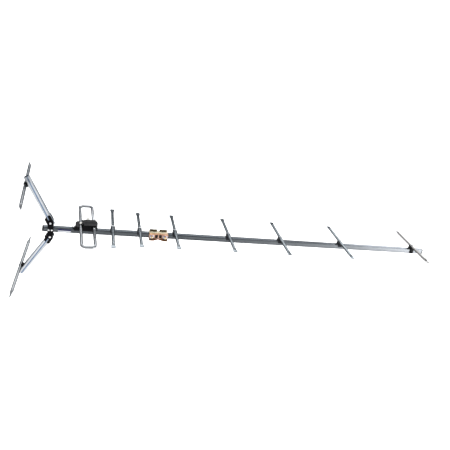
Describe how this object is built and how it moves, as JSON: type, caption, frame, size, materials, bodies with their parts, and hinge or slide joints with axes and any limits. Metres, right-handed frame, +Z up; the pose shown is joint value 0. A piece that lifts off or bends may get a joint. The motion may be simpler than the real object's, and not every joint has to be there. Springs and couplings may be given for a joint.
{
  "type": "yagi antenna",
  "caption": "UHF aerial on a square boom: folding V reflector with swivelling rods, folded dipole with connection box, riveted director rods and a mast clamp.",
  "frame": {"origin": "on the boom's axis, at the middle of the mast clamp", "axes": "+X forward along the boom, from the reflector to the last director; +Z up, towards the side of the boom that carries the elements; the elements lie along Y and the mast notch opens towards -Y"},
  "size_m": [1.3513, 0.2902, 0.3245],
  "materials": {
    "boom_metal": "dark anodised, fine drawn lines",
    "arm_metal": "drawn, satin",
    "rod_metal": "drawn, satin",
    "loop_metal": "drawn, satin",
    "black_plastic": "moulded, fine grain",
    "clip_plastic": "moulded, fine grain",
    "rivet_metal": "bright",
    "clamp_zinc": "yellow zinc plate",
    "bolt_zinc": "yellow zinc plate",
    "nut_zinc": "blue-white zinc plate",
    "coax_nickel": "nickel plated",
    "board_green": "solder resist",
    "ferrite": "sintered, dark grey",
    "label_film": "printed film without words"
  },
  "bodies": {
    "boom": {"arm_pivot_pin_lower": "rivet_metal", "arm_pivot_pin_upper": "rivet_metal", "boom_end_cap_front": "black_plastic", "boom_end_cap_rear": "black_plastic", "boom_label": "label_film", "boom_tube": "boom_metal", "bracket_plate_far": "black_plastic", "bracket_plate_near": "black_plastic", "bracket_rivet_front": "rivet_metal", "bracket_rivet_rear": "rivet_metal", "clamp_bolt_front": "bolt_zinc", "clamp_bolt_rear": "bolt_zinc", "clamp_bracket": "clamp_zinc", "clamp_nut_front": "nut_zinc", "clamp_nut_rear": "nut_zinc", "clamp_strap": "clamp_zinc", "clamp_washer_front": "nut_zinc", "clamp_washer_rear": "nut_zinc", "dipole_balun_board": "board_green", "dipole_balun_core": "ferrite", "dipole_box_base": "black_plastic", "dipole_box_screw": "rivet_metal", "dipole_coax_connector": "coax_nickel", "dipole_lid_hinge_pin": "rivet_metal", "dipole_loop": "loop_metal", "dipole_loop_screw": "rivet_metal", "dipole_terminal_screw_far": "rivet_metal", "dipole_terminal_screw_near": "rivet_metal", "director_clip_1": "clip_plastic", "director_clip_2": "clip_plastic", "director_clip_3": "clip_plastic", "director_clip_4": "clip_plastic", "director_clip_5": "clip_plastic", "director_clip_6": "clip_plastic", "director_clip_7": "black_plastic", "director_rivet_1": "rivet_metal", "director_rivet_2": "rivet_metal", "director_rivet_3": "rivet_metal", "director_rivet_4": "rivet_metal", "director_rivet_5": "rivet_metal", "director_rivet_6": "rivet_metal", "director_rivet_7": "rivet_metal", "director_rod_1": "rod_metal", "director_rod_2": "rod_metal", "director_rod_3": "rod_metal", "director_rod_4": "rod_metal", "director_rod_5": "rod_metal", "director_rod_6": "rod_metal", "director_rod_7": "rod_metal"},
    "arm_upper": {"reflector_arm_upper": "arm_metal", "reflector_rod_rivet_upper": "rivet_metal"},
    "arm_lower": {"reflector_arm_lower": "arm_metal", "reflector_rod_rivet_lower": "rivet_metal"},
    "rod_upper": {"reflector_rod_upper": "rod_metal", "reflector_cradle_upper": "black_plastic"},
    "rod_lower": {"reflector_rod_lower": "rod_metal", "reflector_cradle_lower": "black_plastic"},
    "lid": {"dipole_box_lid": "black_plastic"}
  },
  "joints": [
    {"name": "arm_upper_fold", "type": "hinge", "parent": "boom", "child": "arm_upper", "pos_m": [-0.321, 0, 0.0226], "axis": [0, -1, 0], "range_deg": [0, 62]},
    {"name": "arm_lower_fold", "type": "hinge", "parent": "boom", "child": "arm_lower", "pos_m": [-0.321, 0, -0.0226], "axis": [0, 1, 0], "range_deg": [0, 57]},
    {"name": "rod_upper_swivel", "type": "hinge", "parent": "arm_upper", "child": "rod_upper", "pos_m": [-0.39295, 0, 0.13659], "axis": [-0.8988, 0, -0.4384], "range_deg": [-72, 78]},
    {"name": "rod_lower_swivel", "type": "hinge", "parent": "arm_lower", "child": "rod_lower", "pos_m": [-0.40262, 0, -0.12989], "axis": [-0.8572, 0, 0.515], "range_deg": [-66.5, 83.5]},
    {"name": "lid_hinge", "type": "hinge", "parent": "boom", "child": "lid", "pos_m": [-0.22884, 0.00137, 0.0265], "axis": [0.0541, -0.9985, 0], "range_deg": [0, 105]}
  ]
}
